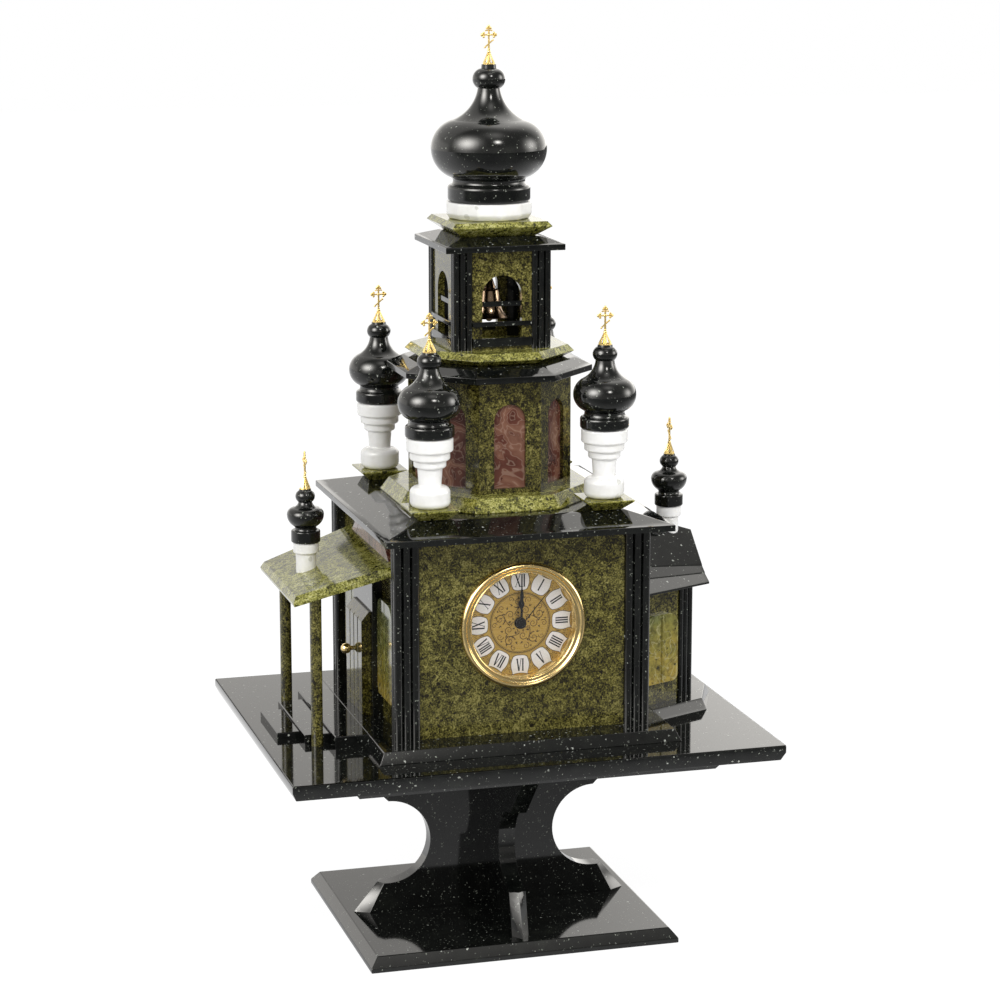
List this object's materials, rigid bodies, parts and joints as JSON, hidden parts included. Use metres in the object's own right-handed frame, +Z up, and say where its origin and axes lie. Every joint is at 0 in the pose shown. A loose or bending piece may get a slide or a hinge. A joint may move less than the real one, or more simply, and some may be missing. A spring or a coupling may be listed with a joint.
{
  "type": "table clock",
  "caption": "Stone table clock shaped as a domed church on a pedestal table, with a round clock insert, a belfry with a swinging bell, a porch and a side chapel.",
  "frame": {"origin": "middle of the underside of the base slab, on the surface that the clock stands on", "axes": "+Z up, -Y out of the clock face, +X to the right as seen from the front"},
  "size_m": [0.361, 0.2904, 0.6643],
  "materials": {
    "black_serpentine": "polished",
    "green_serpentine": "polished",
    "yellow_green_stone": "polished",
    "white_marble": "polished",
    "red_jasper": "polished",
    "polished_brass": "polished",
    "bell_bronze": "polished",
    "clear_glass": "clear",
    "gold_dial": "satin",
    "black_plastic": "matte",
    "black_rubber": "matte",
    "battery_sleeve": "satin",
    "black_paint": "satin"
  },
  "bodies": {
    "church": {"base_slab": "black_serpentine", "battery": "battery_sleeve", "belfry_base_plate": "green_serpentine", "belfry_columns": "black_serpentine", "belfry_rails": "black_serpentine", "belfry_roof": "black_serpentine", "belfry_walls": "green_serpentine", "bell_hanger": "bell_bronze", "chapel_base": "black_serpentine", "chapel_columns": "black_serpentine", "chapel_roof": "black_serpentine", "chapel_walls": "green_serpentine", "chapel_window_panels": "yellow_green_stone", "clock_bezel": "polished_brass", "clock_cup": "black_plastic", "clock_dial": "gold_dial", "clock_grip_ring": "black_rubber", "clock_lens": "clear_glass", "corner_columns": "black_serpentine", "dial_nut": "polished_brass", "dome_base_plate": "green_serpentine", "dome_cross": "polished_brass", "dome_drum": "white_marble", "dome_onion": "black_serpentine", "door_knob": "polished_brass", "door_slab": "green_serpentine", "door_surround": "black_serpentine", "drum_base_plate": "green_serpentine", "drum_jasper_panels": "red_jasper", "drum_roof": "black_serpentine", "drum_walls": "green_serpentine", "front_wall": "green_serpentine", "jasper_frieze": "red_jasper", "left_wall": "green_serpentine", "main_roof": "black_serpentine", "movement_case": "black_plastic", "pedestal_cross_plates": "black_serpentine", "pedestal_wide_plate": "black_serpentine", "plinth_slab": "black_serpentine", "porch_canopy": "green_serpentine", "porch_columns": "green_serpentine", "porch_steps": "black_serpentine", "rear_wall": "green_serpentine", "right_wall": "green_serpentine", "small_crosses": "polished_brass", "small_drums": "white_marble", "small_onions": "black_serpentine", "table_slab": "black_serpentine", "tower_columns": "white_marble", "tower_crosses": "polished_brass", "tower_onions": "black_serpentine", "tower_plates": "green_serpentine", "under_table_plate": "black_serpentine", "wall_window_panels": "yellow_green_stone"},
    "hour_hand": {"hour_hand": "black_paint"},
    "minute_hand": {"minute_hand": "black_paint"},
    "second_hand": {"second_hand": "black_paint"},
    "setting_knob": {"setting_knob": "black_plastic"},
    "bell": {"bell": "bell_bronze"},
    "clapper": {"clapper": "bell_bronze"}
  },
  "joints": [
    {"name": "second_hand_turn", "type": "hinge", "parent": "church", "child": "second_hand", "pos_m": [0, -0.0878, 0.2457], "axis": [0, 1, 0], "continuous": true},
    {"name": "minute_hand_turn", "type": "hinge", "parent": "church", "child": "minute_hand", "pos_m": [0, -0.0878, 0.2457], "axis": [0, 1, 0], "continuous": true},
    {"name": "hour_hand_turn", "type": "hinge", "parent": "church", "child": "hour_hand", "pos_m": [0, -0.0878, 0.2457], "axis": [0, 1, 0], "continuous": true},
    {"name": "setting_knob_turn", "type": "hinge", "parent": "church", "child": "setting_knob", "pos_m": [0, -0.0634, 0.2547], "axis": [0, 1, 0], "continuous": true},
    {"name": "bell_swing", "type": "hinge", "parent": "church", "child": "bell", "pos_m": [0, 0, 0.4887], "axis": [1, 0, 0], "range_deg": [-25, 25]},
    {"name": "clapper_swing", "type": "hinge", "parent": "bell", "child": "clapper", "pos_m": [0, 0, 0.4699], "axis": [1, 0, 0], "range_deg": [-25, 25]}
  ],
  "couplings": [
    {"joint": "minute_hand_turn", "follows": "second_hand_turn", "ratio": 0.016667},
    {"joint": "hour_hand_turn", "follows": "second_hand_turn", "ratio": 0.0013889},
    {"joint": "setting_knob_turn", "follows": "second_hand_turn", "ratio": -0.016667}
  ]
}
